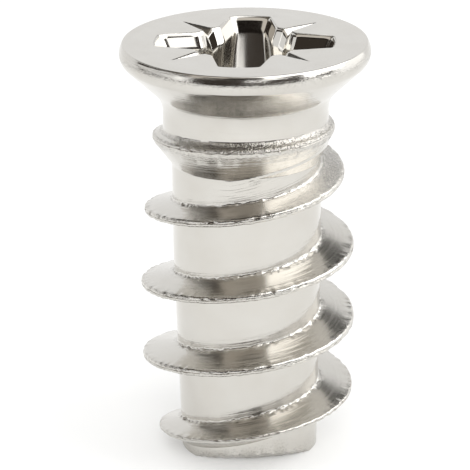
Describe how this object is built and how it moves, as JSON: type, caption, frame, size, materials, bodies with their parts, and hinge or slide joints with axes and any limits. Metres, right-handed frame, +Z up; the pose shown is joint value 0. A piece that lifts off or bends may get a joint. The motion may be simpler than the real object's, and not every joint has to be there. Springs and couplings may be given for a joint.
{
  "type": "euro screw",
  "caption": "Short countersunk steel screw with a coarse rolled thread, a plain neck, a cross drive recess and a blunt sheared end, for fixing cabinet fittings in system holes.",
  "frame": {"origin": "Centre of the cut end, on the screw's axis, where the screw stands.", "axes": "+Z runs up the screw's axis from the cut end to the head; -Y faces the side on which the cut end's broken edge lies."},
  "size_m": [0.0073, 0.0072, 0.0125],
  "materials": {
    "nickel_plated_steel": "bright nickel plate over cold-formed and rolled carbon steel"
  },
  "bodies": {
    "root": {"euro_screw": "nickel_plated_steel"}
  },
  "joints": []
}
